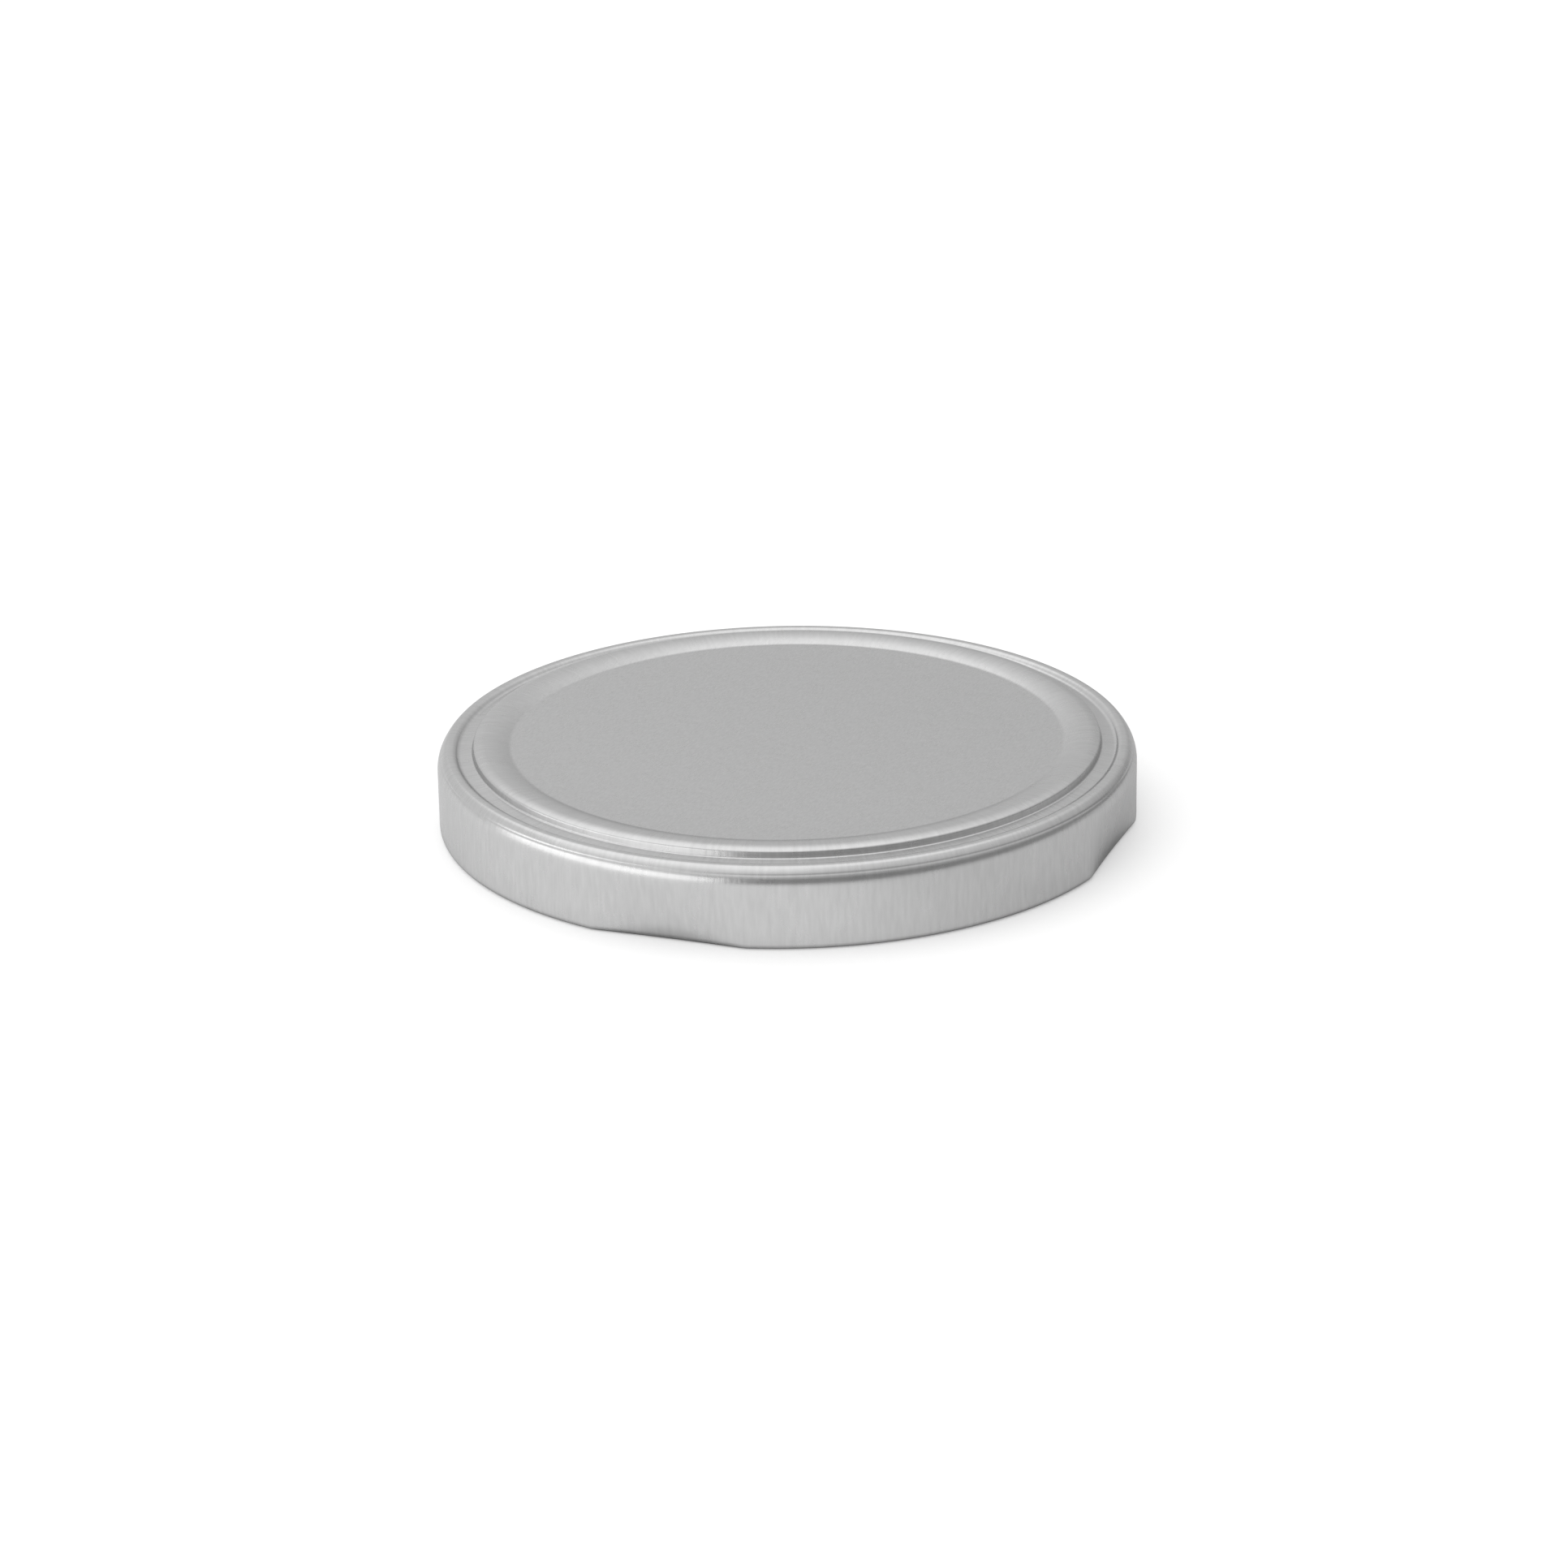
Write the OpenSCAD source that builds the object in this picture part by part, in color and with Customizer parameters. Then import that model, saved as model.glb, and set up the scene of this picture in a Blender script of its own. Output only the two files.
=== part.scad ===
// Twist off jar lid: a thin tinplate cap that lies open side down.
// The top is pressed into a flat panel, a crowned ring, a step and a channel.
// The skirt's lower edge is rolled inward, and the roll is pushed in at the lugs.
// Sizes are in millimetres. The origin is the centre of the circle the lid rests on.
// The front is the -Y side, and +Z is up.

/* [Lid] */
// Outer diameter of the skirt
cap_d = 85.4; // [60:0.1:112]
// Height of the centre panel above the rest circle
panel_h = 10.15; // [8.4:0.05:16]
// Thickness of the tinplate
sheet_t = 0.2; // [0.16:0.01:0.3]

/* [Top pressing] */
// Rise of the ring's crest above the centre panel
ring_rise = 0.65; // [0.4:0.05:0.9]
// Radius of the small fillet where the panel turns up into the ring
toe_r = 1.2; // [0.8:0.1:3]
// Radius of the ring's crown on the side of the panel
crown_in_r = 8; // [5:0.5:14]
// Radius of the ring's crown on the side of the step
crown_out_r = 2.9; // [2:0.1:5]
// Slope that the outer crown reaches at the step's edge, in degrees
crown_slope = 22; // [15:1:32]
// Radius of the step's upper edge
step_edge_r = 0.35; // [0.35:0.05:0.6]
// Slope of the step's face, in degrees from level
step_slope = 72; // [60:1:76]
// Radius at the foot of the step
step_foot_r = 0.25; // [0.2:0.05:0.5]

/* [Rim] */
// Width of the ledge from the foot of the step to the channel's bottom
ledge_w = 0.9; // [0.6:0.05:1.3]
// Fall of the ledge towards the channel, in degrees from level
ledge_slope = 6; // [0:1:12]
// Radius of the channel's bottom
channel_r = 0.9; // [0.6:0.05:1.3]
// Depth of the channel below the top of the rim
channel_depth = 0.52; // [0.4:0.01:0.6]
// Drop from the centre panel to the top of the rim
rim_drop = 0.15; // [0:0.01:0.3]
// Width of the level top of the rim
rim_flat_w = 0.4; // [0.2:0.05:0.6]
// Radius of the bends on both sides of the rim's level top
rim_r = 0.7; // [0.5:0.05:1]
// Radius of the shoulder between the rim's top and the skirt
shoulder_r = 3.1; // [2.6:0.1:3.6]
// Angle at which the rim's top passes into the shoulder, in degrees above level
shoulder_from = 45; // [40:1:52]

/* [Skirt edge] */
// Outer radius of the roll at the skirt's lower edge
curl_r = 0.8; // [0.6:0.05:1.1]
// How far round the edge is rolled, in degrees
curl_turn = 290; // [240:5:300]

/* [Lugs] */
// Number of lugs, equally spaced
lug_count = 4; // [3:1:6]
// Place of the first lug, in degrees from +X
lug_start = 70; // [0:2.5:90]
// Half of the angle that one lug takes, in degrees
lug_half_angle = 19; // [12:0.5:24]
// How far the skirt's foot is pushed in at the middle of a lug
lug_dent = 1.6; // [0.8:0.05:2]
// How far the tip of a lug stands in from the plain roll
lug_reach = 1.85; // [1:0.05:2.4]
// Height of a lug's flattened tip, as a share of the plain roll's height
lug_tip_share = 0.8; // [0.6:0.05:1]
// Height above the rest circle at which the dent has faded out
dent_h = 3.8; // [2.8:0.1:4.6]

/* [Sealing ring] */
// Thickness of the sealing compound under the channel
seal_t = 0.8; // [0.6:0.05:1.1]
// Radius of the compound's inner edge
seal_edge_r = 0.9; // [0.5:0.05:1.1]
// Angle of the shoulder at which the compound ends, in degrees above level
seal_end = 22; // [15:1:35]

/* [Hidden] */

// Steps round the lid
steps = 144;
$fn = steps;
// Steps of the drawn arcs, in degrees
arc_step = 7.5;
// Steps of the roll's arc, which the lugs bend
roll_step = 29;
// Height at which the plain upper pressing meets the band that holds the lugs
split_h = dent_h + 0.4;
// Levels of the skirt between the roll and the split
band_levels = 5;

skirt_r = cap_d / 2;
// Margin by which the band's top edge lies inside the round wall above it
seam = skirt_r / 1000;
// How far the flats of the swept band lie inside its circle
sagitta = skirt_r * (1 - cos(180 / steps));
crest_h = panel_h + ring_rise;
rim_h = panel_h - rim_drop;
floor_h = rim_h - channel_depth;

// Direction at an angle, in a section with radius across and height up
function dir(a) = [cos(a), sin(a)];
// Slope at which two arcs of opposite bend meet, from their radii and the height between them
function meet_slope(rise, r1, r2) = acos(1 - rise / (r1 + r2));

// Centres of the section's arcs, from the skirt inward
rim_slope = meet_slope(channel_depth, rim_r, channel_r);
rim_z = rim_h - rim_r;
shoulder_c = [skirt_r - shoulder_r, rim_z - (shoulder_r - rim_r) * sin(shoulder_from)];
rim_c = shoulder_c + (shoulder_r - rim_r) * dir(shoulder_from);
rim_in_c = rim_c - [rim_flat_w, 0];
channel_c = rim_in_c + (rim_r + channel_r) * dir(90 + rim_slope);
ledge_a = 270 - ledge_slope;
foot_c = channel_c + (channel_r - step_foot_r) * dir(ledge_a) - ledge_w * dir(-ledge_slope);
face = dir(90 - step_slope);
edge_z = crest_h - crown_out_r + (crown_out_r - step_edge_r) * cos(crown_slope);
edge_gap = step_edge_r + step_foot_r - (foot_c[1] - edge_z) * face[1];
edge_c = [foot_c[0] - edge_gap / face[0], edge_z];
crest_r = edge_c[0] - (crown_out_r - step_edge_r) * sin(crown_slope);
toe_slope = meet_slope(ring_rise, toe_r, crown_in_r);
panel_r = crest_r - (toe_r + crown_in_r) * sin(toe_slope);

// The bends of the sheet from the panel to the skirt: centre, outer radius,
// 1 where the outer face bulges or -1 where it is hollow, first and last angle
toe = [[panel_r, panel_h + toe_r], toe_r, -1, 270, 270 + toe_slope];
crown_in = [[crest_r, crest_h - crown_in_r], crown_in_r, 1, 90 + toe_slope, 90];
crown_out = [[crest_r, crest_h - crown_out_r], crown_out_r, 1, 90, 90 - crown_slope];
edge = [edge_c, step_edge_r, 1, 90 - crown_slope, 90 - step_slope];
foot = [foot_c, step_foot_r, -1, 270 - step_slope, ledge_a];
channel = [channel_c, channel_r, -1, ledge_a, 270 + rim_slope];
rim_in = [rim_in_c, rim_r, 1, 90 + rim_slope, 90];
rim = [rim_c, rim_r, 1, 90, shoulder_from];
shoulder = [shoulder_c, shoulder_r, 1, shoulder_from, seal_end];
corner = [shoulder_c, shoulder_r, 1, seal_end, 0];
roll = [[skirt_r - curl_r, curl_r], curl_r, 1, 0, -curl_turn];

// Points along one bend at a depth below the outer face
function bend(b, depth, step = arc_step) =
    let (r = b[1] - b[2] * depth, n = ceil(abs(b[4] - b[3]) / step))
    [for (i = [0:n]) b[0] + r * dir(b[3] + (b[4] - b[3]) * i / n)];
// Points along several bends, which join in straight tangents
function bends(list, depth) = [for (b = list) each bend(b, depth)];
function reversed(list) = [for (i = [len(list) - 1:-1:0]) list[i]];

top_bends = [toe, crown_in, crown_out, edge, foot, channel, rim_in, rim, shoulder, corner];

// Section of the upper pressing, from the axis out and down to the split
function top_skin(depth) =
    concat([[0, panel_h - depth]], bends(top_bends, depth), [[skirt_r - depth, split_h]]);

// Section of the band below the split: skirt and roll, outer face then inner face
function band_skin(depth, inset) =
    let (drop = (split_h - curl_r) / band_levels)
    concat([[skirt_r - depth + inset, split_h]],
           [for (i = [1:band_levels - 1]) [skirt_r - depth, split_h - drop * i]],
           bend(roll, depth, roll_step));
band = concat(band_skin(0, -seam), reversed(band_skin(sheet_t, seam + sagitta)));

// How much of a lug there is at an angle: 1 at its middle, fading to 0 at its ends
function lug_share(a) =
    let (pitch = 360 / lug_count,
         off = abs((a - lug_start + 720 + pitch / 2) % pitch - pitch / 2),
         u = min(1, off / lug_half_angle))
    pow(1 - u * u, 1.4);
// How much of the dent reaches a height: all of it over the roll, none at dent_h
function dent_share(z) =
    let (u = max(0, min(1, (dent_h - z) / (dent_h - 2 * curl_r))))
    u * u * (3 - 2 * u);
// A point of the band, moved by the lug at that angle
function pressed(p, a) =
    let (s = lug_share(a),
         tip = max(0, min(1, (skirt_r - curl_r - p[0]) / curl_r)),
         r = p[0] - s * (lug_dent * dent_share(p[1]) + (lug_reach - lug_dent) * tip),
         z = p[1] * (1 - s * tip * (1 - lug_tip_share)))
    [r * cos(a), r * sin(a), z];

// The band, swept round the axis with its section changing at the lugs
module lug_band() {
    m = len(band);
    points = [for (k = [0:steps - 1]) each [for (p = band) pressed(p, 360 * k / steps)]];
    faces = [for (k = [0:steps - 1], i = [0:m - 1])
        let (a = k * m, b = (k + 1) % steps * m, j = (i + 1) % m)
        each [[a + i, b + i, b + j], [a + i, b + j, a + j]]];
    polyhedron(points, faces, convexity = 8);
}

// The lid's metal, one pressed piece from the panel to the lugs
module lid_shell() {
    color([0.7, 0.7, 0.69]) {
        rotate_extrude(convexity = 8)
            polygon(concat(top_skin(0), reversed(top_skin(sheet_t))));
        lug_band();
    }
}

// The soft compound, which fills the pressing under the step, channel and rim
module sealing_ring() {
    seal_h = floor_h - sheet_t - seal_t;
    seat = bends([crown_out, edge, foot, channel, rim_in, rim, shoulder], sheet_t);
    lip = [[crest_r + seal_edge_r, seal_h + seal_edge_r], seal_edge_r, 1, 270, 200];
    color([0.88, 0.86, 0.8])
        rotate_extrude(convexity = 4)
            polygon(concat(seat, [[rim_c[0], seal_h]], bend(lip, 0)));
}

lid_shell();
sealing_ring();
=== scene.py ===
# A twist off jar lid of satin tinplate, lying open side down on a pale table.
# Lengths of the lid are in millimetres until they reach a mesh, which is in metres.
import math

import bpy
import numpy as np
from mathutils import Matrix, Vector


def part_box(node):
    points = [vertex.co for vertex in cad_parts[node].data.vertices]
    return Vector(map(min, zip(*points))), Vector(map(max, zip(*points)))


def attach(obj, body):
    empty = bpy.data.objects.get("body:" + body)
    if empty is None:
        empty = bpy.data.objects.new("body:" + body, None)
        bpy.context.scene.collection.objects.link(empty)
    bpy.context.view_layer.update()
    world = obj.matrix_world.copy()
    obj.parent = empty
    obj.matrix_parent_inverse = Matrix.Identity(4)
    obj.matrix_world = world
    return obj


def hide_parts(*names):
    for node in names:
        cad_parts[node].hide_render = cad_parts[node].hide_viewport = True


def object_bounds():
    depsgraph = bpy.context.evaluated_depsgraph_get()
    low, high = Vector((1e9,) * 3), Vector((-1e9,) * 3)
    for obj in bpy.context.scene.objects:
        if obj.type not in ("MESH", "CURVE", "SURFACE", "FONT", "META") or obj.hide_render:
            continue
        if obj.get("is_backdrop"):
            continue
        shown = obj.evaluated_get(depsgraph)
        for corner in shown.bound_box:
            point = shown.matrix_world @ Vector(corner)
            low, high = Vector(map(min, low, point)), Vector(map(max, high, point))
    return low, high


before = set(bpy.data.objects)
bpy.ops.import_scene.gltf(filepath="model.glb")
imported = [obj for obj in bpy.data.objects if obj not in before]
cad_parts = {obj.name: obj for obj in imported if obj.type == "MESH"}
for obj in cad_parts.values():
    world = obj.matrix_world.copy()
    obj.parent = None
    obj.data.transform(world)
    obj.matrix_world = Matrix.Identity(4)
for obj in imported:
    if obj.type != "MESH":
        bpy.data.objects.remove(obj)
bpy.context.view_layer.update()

# The metal of the lid: one blank of tinplate, drawn to a shallow cap. Its top is pressed to a
# flat panel, a crowned ring, a step and a channel, and the skirt's edge is rolled inward.
# The roll and the foot of the skirt are then pushed in at four places, which makes the lugs.
cap_low, cap_high = (np.array(corner) * 1000 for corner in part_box("lid_shell"))
skirt_r = (cap_high[0] - cap_low[0]) / 2
crest_h = cap_high[2]
ring_rise = 0.65
panel_h = crest_h - ring_rise
rim_drop = 0.15
rim_h = panel_h - rim_drop
channel_depth = 0.52
floor_h = rim_h - channel_depth
sheet_t = 0.2

toe_r, crown_in_r, crown_out_r = 1.2, 8.0, 2.9
edge_r, foot_r, channel_r, rim_r, shoulder_r = 0.35, 0.25, 0.55, 0.7, 3.1
crown_slope, step_slope = 22.0, 80.0
ledge_w, ledge_slope = 1.25, 6.0
rim_flat_w = 0.4
shoulder_from = 45.0
seal_end = 22.0
crease_at, crease_spread, crease_depth = 30.5, 2.3, 0.022
curl_r = 0.8
curl_turn = 290.0

lug_count = 4
lug_start = 70.0
lug_half_angle = 12.7
lug_dent = 1.2
lug_reach = 1.85
lug_tip_share = 0.8


def toward(degrees):
    """Direction in a section, with radius across and height up."""
    return np.array([math.cos(math.radians(degrees)), math.sin(math.radians(degrees))])


def meet_slope(rise, r1, r2):
    """Slope at which two arcs of opposite bend meet, from their radii and the height between."""
    return math.degrees(math.acos(1 - rise / (r1 + r2)))


rim_slope = meet_slope(channel_depth, rim_r, channel_r)
rim_z = rim_h - rim_r
to_rim = (shoulder_r - rim_r) * toward(shoulder_from)
shoulder_c = np.array([skirt_r - shoulder_r, rim_z - to_rim[1]])
rim_c = shoulder_c + to_rim
rim_in_c = rim_c - (rim_flat_w, 0)
channel_c = rim_in_c + (rim_r + channel_r) * toward(90 + rim_slope)
ledge_a = 270 - ledge_slope
foot_c = channel_c + (channel_r - foot_r) * toward(ledge_a) - ledge_w * toward(-ledge_slope)
face = toward(90 - step_slope)
edge_z = crest_h - crown_out_r + (crown_out_r - edge_r) * math.cos(math.radians(crown_slope))
edge_gap = edge_r + foot_r - (foot_c[1] - edge_z) * face[1]
edge_c = np.array([foot_c[0] - edge_gap / face[0], edge_z])
crest_r = edge_c[0] - (crown_out_r - edge_r) * math.sin(math.radians(crown_slope))
toe_slope = meet_slope(ring_rise, toe_r, crown_in_r)
panel_r = crest_r - (toe_r + crown_in_r) * math.sin(math.radians(toe_slope))

# Each bend has its centre, outer radius, 1 if it bulges or -1 if it is hollow, and two angles.
toe = ((panel_r, panel_h + toe_r), toe_r, -1, 270, 270 + toe_slope)
crown_in = ((crest_r, crest_h - crown_in_r), crown_in_r, 1, 90 + toe_slope, 90)
crown_out = ((crest_r, crest_h - crown_out_r), crown_out_r, 1, 90, 90 - crown_slope)
edge = (edge_c, edge_r, 1, 90 - crown_slope, 90 - step_slope)
foot = (foot_c, foot_r, -1, 270 - step_slope, ledge_a)
channel = (channel_c, channel_r, -1, ledge_a, 270 + rim_slope)
rim_in = (rim_in_c, rim_r, 1, 90 + rim_slope, 90)
rim = (rim_c, rim_r, 1, 90, shoulder_from)
corner = (shoulder_c, shoulder_r, 1, seal_end, 0)
roll = ((skirt_r - curl_r, curl_r), curl_r, 1, 0, -curl_turn)


def bend(b, depth, count):
    """Points along one bend, at a depth below the outer face of the sheet."""
    centre, radius, side, first, last = b
    angles = np.linspace(first, last, count)
    return [np.array(centre) + (radius - side * depth) * toward(a) for a in angles]


def line(start, end, count):
    """Points between two places, without the places themselves."""
    step = (np.array(end) - start) / (count + 1)
    return [start + step * k for k in range(1, count + 1)]


def creased(depth):
    """Points down the shoulder, where the drawing die leaves a fine crease."""
    angles = np.linspace(shoulder_from, seal_end, 24)
    radii = shoulder_r - depth - crease_depth * np.exp(-((angles - crease_at) / crease_spread) ** 2)
    return [shoulder_c + radius * toward(a) for a, radius in zip(angles, radii)]


def skin(depth):
    """One face of the sheet, from near the axis out over the top and down round the roll."""
    points = line((0, panel_h - depth), (panel_r, panel_h - depth), 4)
    bends = ((toe, 7), (crown_in, 9), (crown_out, 8), (edge, 7), (foot, 7), (channel, 8),
             (rim_in, 6), (rim, 7))
    for b, count in bends:
        points += bend(b, depth, count)
    points += creased(depth) + bend(corner, depth, 6)
    wall_r = skirt_r - depth
    points += line((wall_r, shoulder_c[1]), (wall_r, curl_r), 12)
    return np.array(points + bend(roll, depth, 26))


outer = skin(0)
inner = skin(sheet_t)
section = np.vstack([outer, inner[::-1]])


def lug_share(degrees):
    """How much of a lug there is at an angle: a flat across the round wall has this shape."""
    pitch = 360 / lug_count
    off = np.abs((degrees - lug_start + pitch / 2) % pitch - pitch / 2)
    edge_cos = math.cos(math.radians(lug_half_angle))
    return np.maximum(0, (1 - edge_cos / np.cos(np.radians(off))) / (1 - edge_cos))


def dent_share(z):
    """How much of the dent reaches a height: all of it at the roll, none at the shoulder."""
    return np.clip((shoulder_c[1] - z) / (shoulder_c[1] - curl_r), 0, 1)


def swept(profile, steps):
    """Vertices of a section swept round the axis, pressed in at the lugs."""
    degrees = (np.arange(steps) * 360 / steps)[:, None]
    r, z = profile[None, :, 0], profile[None, :, 1]
    share = lug_share(degrees)
    in_roll = z < 2 * curl_r + sheet_t
    tip = np.where(in_roll, np.clip((skirt_r - curl_r - r) / curl_r, 0, 1), 0)
    radius = r - share * (lug_dent * dent_share(z) + (lug_reach - lug_dent) * tip)
    height = z * (1 - share * tip * (1 - lug_tip_share))
    turn = np.radians(degrees)
    places = np.stack([radius * np.cos(turn), radius * np.sin(turn), height + 0 * radius], axis=-1)
    return places.reshape(-1, 3)


def ring_faces(steps, count, closed):
    """Quads between neighbouring sections, round the axis."""
    faces = []
    last = count if closed else count - 1
    for k in range(steps):
        a, b = k * count, (k + 1) % steps * count
        faces += [(a + i, b + i, b + (i + 1) % count, a + (i + 1) % count) for i in range(last)]
    return faces


steps = 360
count = len(section)
places = swept(section, steps)
faces = ring_faces(steps, count, False)
top_hub, under_hub = len(places), len(places) + 1
places = np.vstack([places, [(0, 0, panel_h), (0, 0, panel_h - sheet_t)]])
for k in range(steps):
    a, b = k * count, (k + 1) % steps * count
    faces.append((top_hub, b, a))
    faces.append((under_hub, a + count - 1, b + count - 1))

mesh = bpy.data.meshes.new("pressed_tinplate")
mesh.from_pydata((places / 1000).tolist(), [], faces)
mesh.validate()
metal = bpy.data.objects.new("pressed_tinplate", mesh)
bpy.context.scene.collection.objects.link(metal)
sharp_edge = math.radians(50)
mesh.shade_smooth()
mesh.set_sharp_from_angle(angle=sharp_edge)

# Where each point lies on the blank: across the panel, then along the section past its edge.
along = np.concatenate([[0], np.cumsum(np.linalg.norm(np.diff(section, axis=0), axis=1))])
edge_at = int(np.argmax(section[:, 0] > panel_r))
turn = np.repeat(np.arange(steps) * 2 * math.pi / steps, count)
reach = skirt_r * np.minimum(1, np.hypot(places[:-2, 0], places[:-2, 1]) / panel_r)
blank = np.zeros((len(places), 3))
blank[:-2, 0] = reach * np.cos(turn)
blank[:-2, 1] = reach * np.sin(turn)
blank[:-2, 2] = np.tile(np.maximum(0, along - along[edge_at]), steps)
mesh.attributes.new("blank_place", "FLOAT_VECTOR", "POINT").data.foreach_set(
    "vector", blank.astype(np.float32).ravel())
drawn_over = 2.5
drawn = np.clip((np.hypot(places[:, 0], places[:, 1]) - panel_r) / drawn_over, 0, 1)
mesh.attributes.new("drawn_share", "FLOAT", "POINT").data.foreach_set(
    "value", drawn.astype(np.float32))

tinplate = bpy.data.materials.new("satin_tinplate")
tinplate.use_nodes = True
nodes, links = tinplate.node_tree.nodes, tinplate.node_tree.links
shader = nodes["Principled BSDF"]
shader.inputs["Metallic"].default_value = 1.0
shader.inputs["Specular Tint"].default_value = (0.8, 0.8, 0.8, 1)


def grain(place, mark, detail, turn=0.0):
    """Noise whose marks have the given sizes along X, Y and Z, turned about Z."""
    mapping = nodes.new("ShaderNodeMapping")
    mapping.vector_type = "TEXTURE"
    mapping.inputs["Rotation"].default_value = (0, 0, turn)
    mapping.inputs["Scale"].default_value = mark
    noise = nodes.new("ShaderNodeTexNoise")
    noise.inputs["Scale"].default_value = 1.0
    noise.inputs["Detail"].default_value = detail
    links.new(place, mapping.inputs["Vector"])
    links.new(mapping.outputs["Vector"], noise.inputs["Vector"])
    return noise.outputs["Fac"]


def between(share, low, high):
    """Blend of two numbers by a share."""
    mix = nodes.new("ShaderNodeMix")
    links.new(share, mix.inputs["Factor"])
    for name, value in (("A", low), ("B", high)):
        if isinstance(value, float):
            mix.inputs[name].default_value = value
        else:
            links.new(value, mix.inputs[name])
    return mix.outputs["Result"]


blank_place = nodes.new("ShaderNodeAttribute")
blank_place.attribute_name = "blank_place"
drawn_share = nodes.new("ShaderNodeAttribute")
drawn_share.attribute_name = "drawn_share"
object_place = nodes.new("ShaderNodeTexCoord")

# The mill's grain runs slantwise over the panel, in metres. Drawing the blank pulled it into
# fine upright marks, in millimetres of the blank.
mill_mark = (0.00026, 0.0009, 0.001)
mill_turn = math.radians(-24)
draw_mark = (0.5, 0.5, 3.0)
haze_mark = (3, 3, 6)
grain_depth = 0.000018
mill_grain = grain(object_place.outputs["Object"], mill_mark, 2.0, mill_turn)
draw_marks = grain(blank_place.outputs["Vector"], draw_mark, 3.0)
surface = between(drawn_share.outputs["Fac"], mill_grain, draw_marks)
bump = nodes.new("ShaderNodeBump")
bump.inputs["Strength"].default_value = 1.0
bump.inputs["Distance"].default_value = grain_depth
links.new(surface, bump.inputs["Height"])
links.new(bump.outputs["Normal"], shader.inputs["Normal"])

haze = grain(blank_place.outputs["Vector"], haze_mark, 2.0)
links.new(between(haze, 0.24, 0.32), shader.inputs["Roughness"])
tone = nodes.new("ShaderNodeMix")
tone.data_type = "RGBA"
tone.inputs["A"].default_value = (0.54, 0.54, 0.54, 1)
tone.inputs["B"].default_value = (0.68, 0.68, 0.68, 1)
links.new(surface, tone.inputs["Factor"])
links.new(tone.outputs["Result"], shader.inputs["Base Color"])
mesh.materials.append(tinplate)

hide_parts("lid_shell")
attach(metal, "root")

# The sealing ring: soft cream compound, run into the hollow under the step, channel and rim
# while wet and cured there. It clings to the metal, and its lower face is nearly flat.
seal_t = 0.8
seal_edge_r = 0.9
seal_h = floor_h - sheet_t - seal_t
seat = []
for b, points in ((crown_out, 8), (edge, 7), (foot, 7), (channel, 8), (rim_in, 6), (rim, 7)):
    seat += bend(b, sheet_t, points)
seat += creased(sheet_t)
flat_end = np.array([rim_c[0], seal_h])
lip = ((crest_r + seal_edge_r, seal_h + seal_edge_r), seal_edge_r, 1, 270, 200)
ring = np.array(seat + line(seat[-1], flat_end, 3) + [flat_end] + bend(lip, 0, 12))
ring_turn = np.arange(steps) * 2 * math.pi / steps
ring_places = np.stack([
    ring[None, :, 0] * np.cos(ring_turn)[:, None],
    ring[None, :, 0] * np.sin(ring_turn)[:, None],
    np.broadcast_to(ring[None, :, 1], (steps, len(ring))),
], axis=-1).reshape(-1, 3)
ring_mesh = bpy.data.meshes.new("flowed_compound")
ring_mesh.from_pydata((ring_places / 1000).tolist(), [], ring_faces(steps, len(ring), True))
compound = bpy.data.objects.new("flowed_compound", ring_mesh)
bpy.context.scene.collection.objects.link(compound)
ring_mesh.shade_smooth()
ring_mesh.set_sharp_from_angle(angle=sharp_edge)

plastisol = bpy.data.materials.new("cured_compound")
plastisol.use_nodes = True
nodes, links = plastisol.node_tree.nodes, plastisol.node_tree.links
shader = nodes["Principled BSDF"]
shader.inputs["IOR"].default_value = 1.52
ring_place = nodes.new("ShaderNodeTexCoord")
ripple_size = 0.0045
ripple_depth = 0.00006
ripple = grain(ring_place.outputs["Object"], (ripple_size, ripple_size, ripple_size), 2.0)
bump = nodes.new("ShaderNodeBump")
bump.inputs["Distance"].default_value = ripple_depth
links.new(ripple, bump.inputs["Height"])
links.new(bump.outputs["Normal"], shader.inputs["Normal"])
links.new(between(ripple, 0.36, 0.46), shader.inputs["Roughness"])
tone = nodes.new("ShaderNodeMix")
tone.data_type = "RGBA"
tone.inputs["A"].default_value = (0.72, 0.69, 0.6, 1)
tone.inputs["B"].default_value = (0.8, 0.77, 0.69, 1)
links.new(ripple, tone.inputs["Factor"])
links.new(tone.outputs["Result"], shader.inputs["Base Color"])
ring_mesh.materials.append(plastisol)

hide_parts("sealing_ring")
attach(compound, "root")

# The table: a plain white sheet of paper, laid flat, and wide enough that the camera never sees
# past it. Its glow turns it evenly white for the camera, and is painted light and shade in what the
# metal mirrors of it.
table_half = 3.0
table_mesh = bpy.data.meshes.new("table")
table_mesh.from_pydata(
    [(x, y, 0) for x, y in ((-1, -1), (1, -1), (1, 1), (-1, 1))], [], [(0, 1, 2, 3)])
table = bpy.data.objects.new("table", table_mesh)
table.scale = (table_half, table_half, 1)
bpy.context.scene.collection.objects.link(table)
paper = bpy.data.materials.new("white_paper_painted_glow")
paper.use_nodes = True
nodes, links = paper.node_tree.nodes, paper.node_tree.links
nodes.clear()
diffuse = nodes.new("ShaderNodeBsdfDiffuse")
# Emission: an even white for the camera, and painted light and shade for the metal's mirror.
glow = nodes.new("ShaderNodeEmission")
seen = nodes.new("ShaderNodeLightPath")
spot = nodes.new("ShaderNodeNewGeometry")
spot_parts = nodes.new("ShaderNodeSeparateXYZ")
links.new(spot.outputs["Position"], spot_parts.inputs[0])
from_lid = nodes.new("ShaderNodeVectorMath")
from_lid.operation = "LENGTH"
links.new(spot.outputs["Position"], from_lid.inputs[0])


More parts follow.
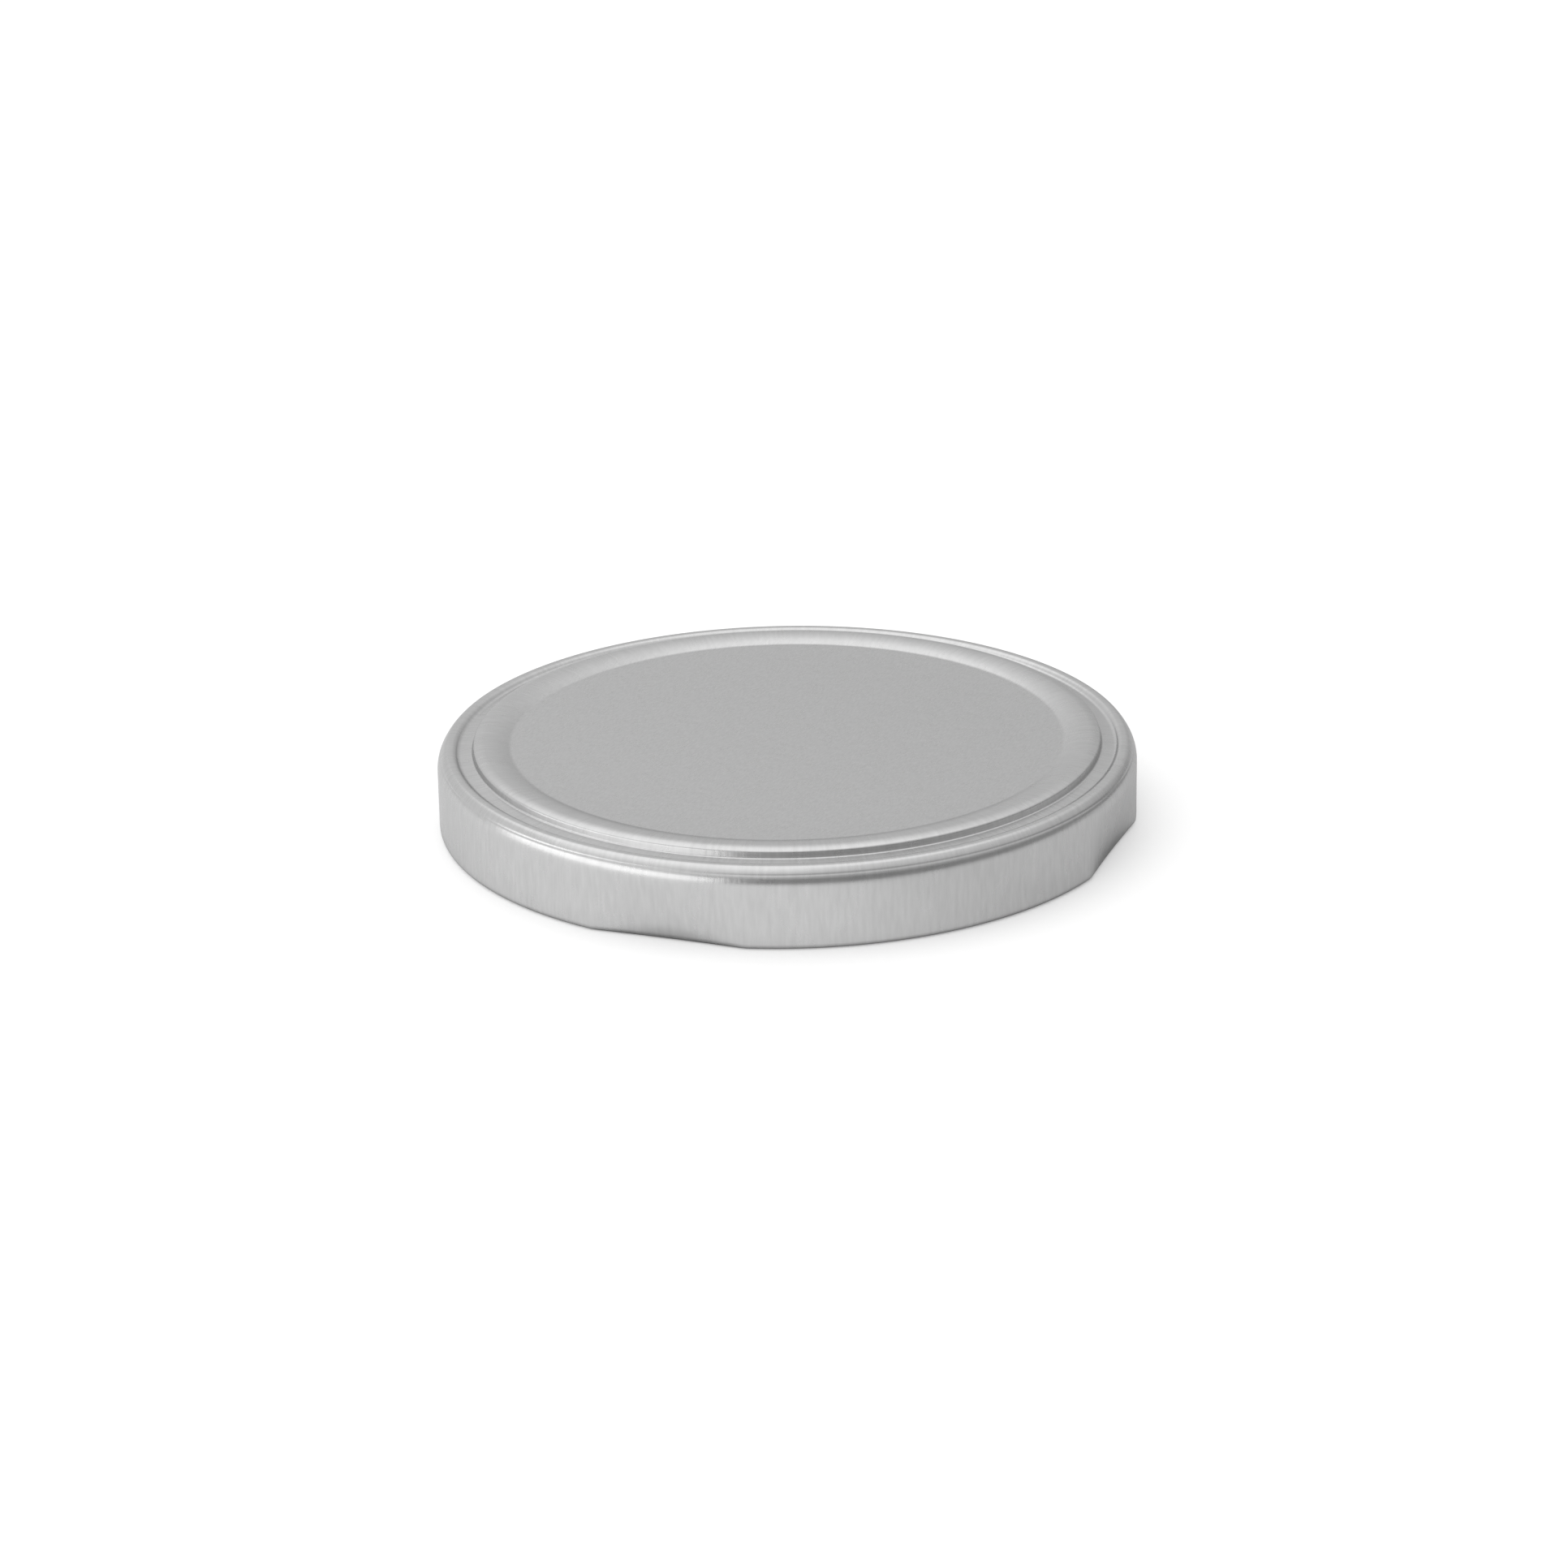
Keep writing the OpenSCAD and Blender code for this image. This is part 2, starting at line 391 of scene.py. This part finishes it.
def blend(value, start, end, first, last):
    """Smooth change from the first number to the last while a value goes from start to end."""
    step = nodes.new("ShaderNodeMapRange")
    step.interpolation_type = "SMOOTHSTEP"
    links.new(value, step.inputs["Value"])
    ends = (("From Min", start), ("From Max", end), ("To Min", first), ("To Max", last))
    for name, given in ends:
        if isinstance(given, float):
            step.inputs[name].default_value = given
        else:
            links.new(given, step.inputs[name])
    return step.outputs[0]


# Painted light and shade for the metal's mirror: the table it mirrors glows more at the left, as
# painted light, and not at all under the lid's edge, as a painted shadow there.
camera_glow = 0.26
left_painted_light, right_painted_light = 0.47, 0.27
right_from = 0.04
painted_shade_from, painted_shade_to = (skirt_r - lug_dent) / 1000, (skirt_r + 1.3) / 1000
paper_white, mirrored_paper_dimmed = 0.9, 0.5
# Painted light: the mirrored glow is brighter at the left of the table than at the right.
painted_light_by_side = blend(spot_parts.outputs["X"], 0.0, right_from, left_painted_light, right_painted_light)
# Painted shadow: the mirrored glow falls to nothing along the lid's edge.
mirrored_painted_light_and_shade = blend(from_lid.outputs["Value"], painted_shade_from, painted_shade_to, 0.0, painted_light_by_side)
strength = 0.0
for ray, lift in (("Is Camera Ray", camera_glow), ("Is Glossy Ray", mirrored_painted_light_and_shade),
                  ("Is Transmission Ray", mirrored_painted_light_and_shade)):
    strength = blend(seen.outputs[ray], 0.0, 1.0, strength, lift)
links.new(strength, glow.inputs["Strength"])
# The paper is dimmer in the metal's mirror, so that its painted glow outweighs the real light and
# shadow it gets.
links.new(blend(seen.outputs["Is Glossy Ray"], 0.0, 1.0, paper_white, mirrored_paper_dimmed),
          diffuse.inputs["Color"])
both = nodes.new("ShaderNodeAddShader")
output = nodes.new("ShaderNodeOutputMaterial")
links.new(diffuse.outputs[0], both.inputs[0])
links.new(glow.outputs[0], both.inputs[1])
links.new(both.outputs[0], output.inputs["Surface"])
table_mesh.materials.append(paper)
table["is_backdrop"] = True

# The light: a wide soft lamp overhead, a low one at the left, and a room that the satin metal
# mirrors. The room has a white ceiling, a pale wall behind the lid, a little brighter at the
# left, and is dim low down in front and at the right.


def softbox(name, place, target, width, depth, radiance):
    """A flat lamp that looks equally bright all over."""
    lamp = bpy.data.lights.new(name, "AREA")
    lamp.shape = "RECTANGLE"
    lamp.size, lamp.size_y = width, depth
    lamp.energy = radiance * math.pi * width * depth
    holder = bpy.data.objects.new(name, lamp)
    holder.location = place
    holder.rotation_euler = (Vector(target) - Vector(place)).to_track_quat("-Z", "Y").to_euler()
    holder.visible_camera = False
    bpy.context.scene.collection.objects.link(holder)


softbox("overhead", (-0.35, 0.25, 1.5), (-0.1, 0.1, 0), 2.2, 2.2, 0.28)
softbox("left", (-0.433, -0.25, 0.105), (0, 0, 0.008), 0.82, 0.18, 1.5)

room = bpy.data.worlds.new("room")
bpy.context.scene.world = room
room.use_nodes = True
nodes, links = room.node_tree.nodes, room.node_tree.links
background = nodes["Background"]
background.inputs["Color"].default_value = (1, 1, 1, 1)
look = nodes.new("ShaderNodeTexCoord")


def lean(direction):
    """How far a look goes along a direction."""
    product = nodes.new("ShaderNodeVectorMath")
    product.operation = "DOT_PRODUCT"
    product.inputs[1].default_value = direction
    links.new(look.outputs["Generated"], product.inputs[0])
    return product.outputs["Value"]


across = lean((1, 0, 0))
to_back = lean((-0.38, 0.92, 0))
above = lean((0, 0.16, 1))
dim = 0.22
wall = blend(across, -0.3, 0.3, 0.81, 0.61)
low = blend(to_back, 0.3, 0.8, dim, wall)
middle = blend(above, 0.12, 0.45, low, wall)
ceiling = blend(across, -0.7, 0.7, 1.05, 0.88)
links.new(blend(above, 0.5, 0.85, middle, ceiling), background.inputs["Strength"])

# The camera: a long lens from the front and above, turned a little about its own axis,
# as the photograph shows the lid. It aims a little below the middle of the lid's height.
camera_distance = 14.08 * skirt_r / 1000
camera_elevation = math.radians(21.55)
camera_roll = math.radians(-0.97)
camera_data = bpy.data.cameras.new("camera")
camera_data.sensor_width = 36
camera_data.lens = 112.3
camera_data.clip_start = 0.01
camera = bpy.data.objects.new("camera", camera_data)
camera.location = (0, -camera_distance * math.cos(camera_elevation),
                   camera_distance * math.sin(camera_elevation))
aim = Vector((-0.00043, 0, 0.004)) - camera.location
camera.rotation_euler = (aim.to_track_quat("-Z", "Y").to_matrix()
                         @ Matrix.Rotation(camera_roll, 3, "Z")).to_euler()
bpy.context.scene.collection.objects.link(camera)
bpy.context.scene.camera = camera
bpy.context.scene.view_settings.view_transform = "Standard"

low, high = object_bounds()
